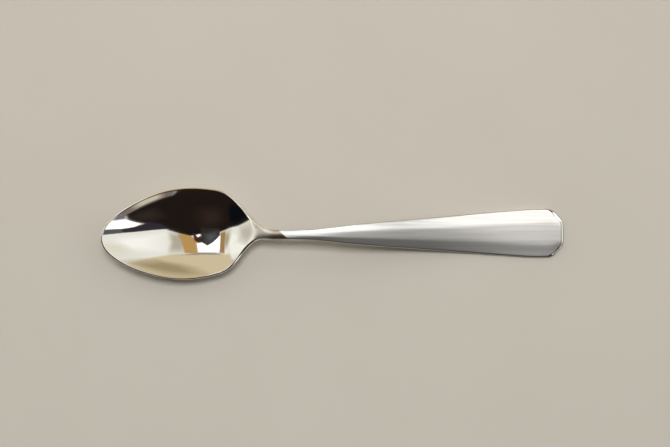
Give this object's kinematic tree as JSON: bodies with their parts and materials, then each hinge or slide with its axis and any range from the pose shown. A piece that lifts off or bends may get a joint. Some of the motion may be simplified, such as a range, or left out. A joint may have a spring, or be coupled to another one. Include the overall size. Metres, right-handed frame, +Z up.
{
  "type": "demitasse spoon",
  "caption": "Small coffee spoon with a pointed egg-shaped polished bowl, a slim neck and a flared satin handle with three soft facets and a chamfered end.",
  "frame": {"origin": "on the table under the middle of the spoon's box, with the spoon lying on its bowl and the end of its handle", "axes": "+X from the bowl's tip to the handle's end, +Y to the left of that direction, +Z up out of the open bowl"},
  "size_m": [0.108, 0.0214, 0.0097],
  "materials": {
    "polished_steel": "polished",
    "satin_steel": "satin"
  },
  "bodies": {
    "root": {"bowl": "polished_steel", "handle": "satin_steel"}
  },
  "joints": []
}
